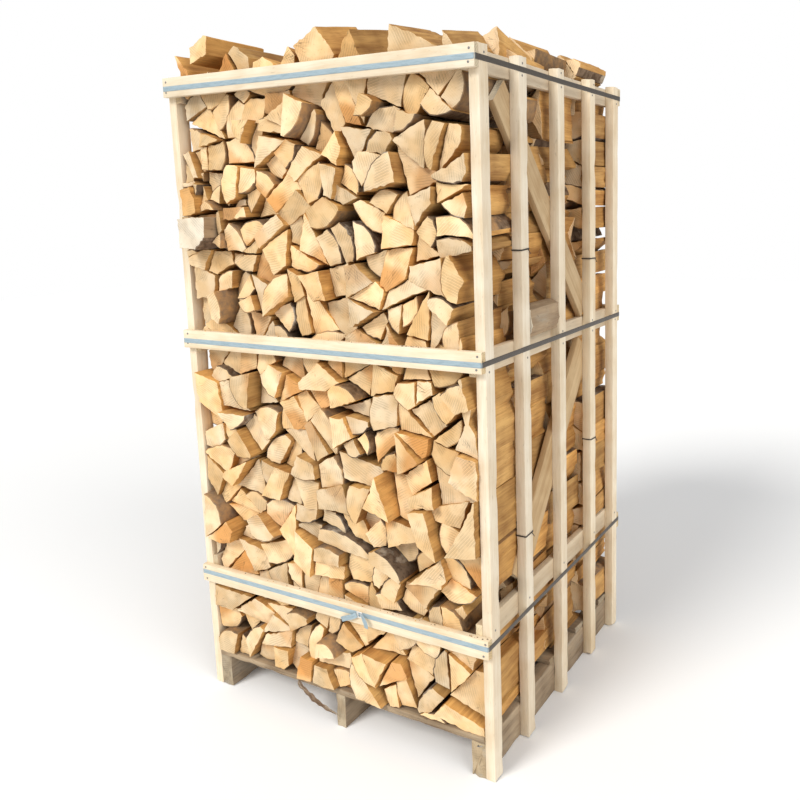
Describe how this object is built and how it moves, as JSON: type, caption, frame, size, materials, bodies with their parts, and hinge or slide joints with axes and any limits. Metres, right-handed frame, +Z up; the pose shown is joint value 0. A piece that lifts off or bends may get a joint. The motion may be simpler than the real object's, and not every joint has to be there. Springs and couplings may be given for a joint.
{
  "type": "strapped firewood crate",
  "caption": "Tall slatted crate of split birch firewood on runners, logs stacked end-out, heaped on top and held by battens and tensioned straps.",
  "frame": {"origin": "on the floor under the middle of the crate, centre of the middle runner's underside", "axes": "+Z up; -Y is the front, where the cut log ends and the pulled logs face; +X is the side whose middle rail carries the bulging log"},
  "size_m": [1.1012, 1.128, 2.1354],
  "materials": {
    "lath": "planed softwood laths, pale, lightly greyed",
    "pallet": "rough sawn softwood, weathered grey",
    "birch": "freshly split birch with sawn ends and grey-brown bark",
    "weathered": "split birch weathered to a pale grey",
    "strap": "woven polyester strapping, light blue-grey",
    "wire": "galvanised wire"
  },
  "bodies": {
    "root": {"post_left_1": "lath", "post_left_2": "lath", "post_left_3": "lath", "post_left_4": "lath", "post_left_5": "lath", "rail_left_lower": "lath", "rail_left_middle": "lath", "rail_left_top": "lath", "brace_left_lower": "lath", "brace_left_upper": "lath", "post_right_1": "lath", "post_right_2": "lath", "post_right_3": "lath", "post_right_4": "lath", "post_right_5": "lath", "rail_right_lower": "lath", "rail_right_middle": "lath", "rail_right_top": "lath", "brace_right_lower": "lath", "brace_right_upper": "lath", "batten_front_lower": "lath", "batten_front_middle": "lath", "batten_front_top": "lath", "batten_back_lower": "lath", "batten_back_middle": "lath", "batten_back_top": "lath", "strap_lower": "strap", "strap_middle": "strap", "strap_top": "strap", "strap_buckle_lower": "wire", "strap_buckle_middle": "wire", "strap_buckle_top": "wire", "runner_left": "pallet", "runner_middle": "pallet", "runner_right": "pallet", "deck_board_1": "pallet", "deck_board_2": "pallet", "deck_board_3": "pallet", "deck_board_4": "pallet", "deck_board_5": "pallet", "log_row_1": "birch", "log_row_2": "birch", "log_row_3": "birch", "log_row_4": "birch", "pulled_log_weathered": "weathered", "bulging_log_right": "weathered", "pulled_log_wedge": "birch", "pulled_log_back": "birch", "heap_log_corner": "birch", "heap_log_high": "birch", "heap_log_orange": "birch", "heap_log_split": "birch", "heap_log_wide": "birch", "heap_log_thin": "birch", "heap_log_pale": "birch", "heap_log_narrow": "birch", "heap_log_peak": "birch", "heap_log_back": "birch", "heap_log_bark": "birch"}
  },
  "joints": []
}
